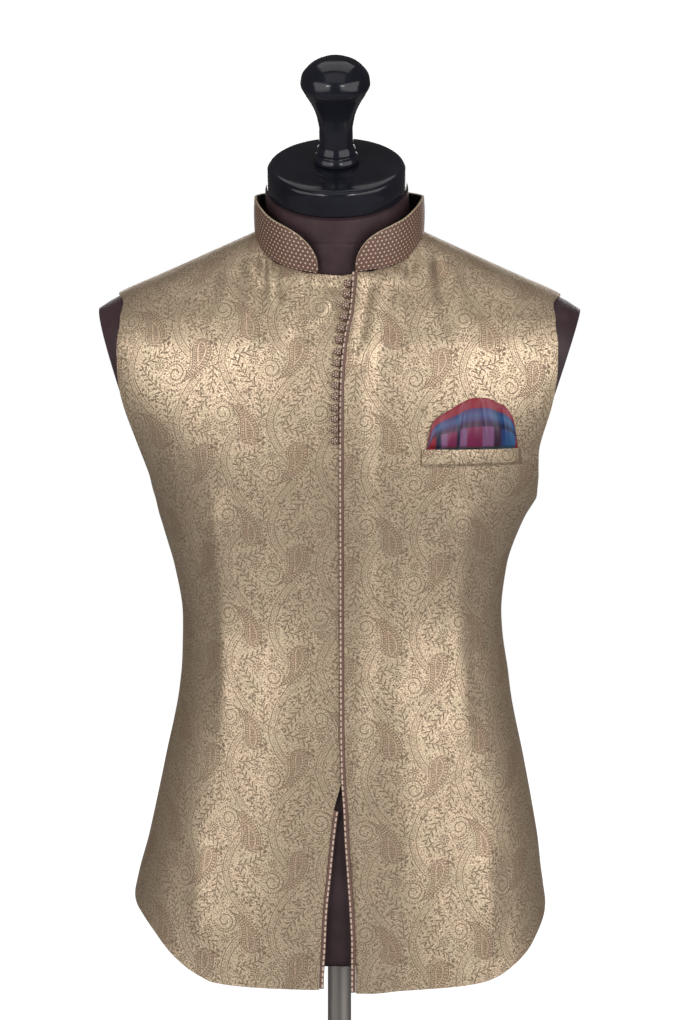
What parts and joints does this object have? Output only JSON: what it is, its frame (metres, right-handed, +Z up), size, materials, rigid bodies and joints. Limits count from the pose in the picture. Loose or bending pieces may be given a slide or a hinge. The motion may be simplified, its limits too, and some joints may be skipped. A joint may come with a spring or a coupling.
{
  "type": "waistcoat on dress form",
  "caption": "Sleeveless stand-collar waistcoat in paisley brocade with a row of ball buttons, a breast pocket and side vents, on a limbless dress form with a pole stand.",
  "frame": {"origin": "centre of the stand base's underside, on the pole's axis", "axes": "+Z up; the garment's front faces -Y; +X is the wearer's left"},
  "size_m": [0.4628, 0.3, 1.0855],
  "materials": {
    "brocade": "satin brocade",
    "contrast": "dotted brocade",
    "silk": "checked silk",
    "leather": "fine grain, satin",
    "lacquer": "gloss",
    "steel": "brushed"
  },
  "bodies": {
    "root": {"front_left": "brocade", "front_right": "brocade", "back_panel": "brocade", "pocket_welt": "brocade", "collar": "contrast", "piping_left": "contrast", "piping_right": "contrast", "button_01": "contrast", "button_02": "contrast", "button_03": "contrast", "button_04": "contrast", "button_05": "contrast", "button_06": "contrast", "button_07": "contrast", "button_08": "contrast", "button_09": "contrast", "button_10": "contrast", "button_11": "contrast", "button_12": "contrast", "button_13": "contrast", "button_14": "contrast", "button_15": "contrast", "loop_01": "contrast", "loop_02": "contrast", "loop_03": "contrast", "loop_04": "contrast", "loop_05": "contrast", "loop_06": "contrast", "loop_07": "contrast", "loop_08": "contrast", "loop_09": "contrast", "loop_10": "contrast", "loop_11": "contrast", "loop_12": "contrast", "loop_13": "contrast", "loop_14": "contrast", "loop_15": "contrast", "pocket_square": "silk", "dress_form": "leather", "neck_cap": "lacquer", "cap_knob": "lacquer", "stand_pole": "steel", "stand_base": "steel"}
  },
  "joints": []
}
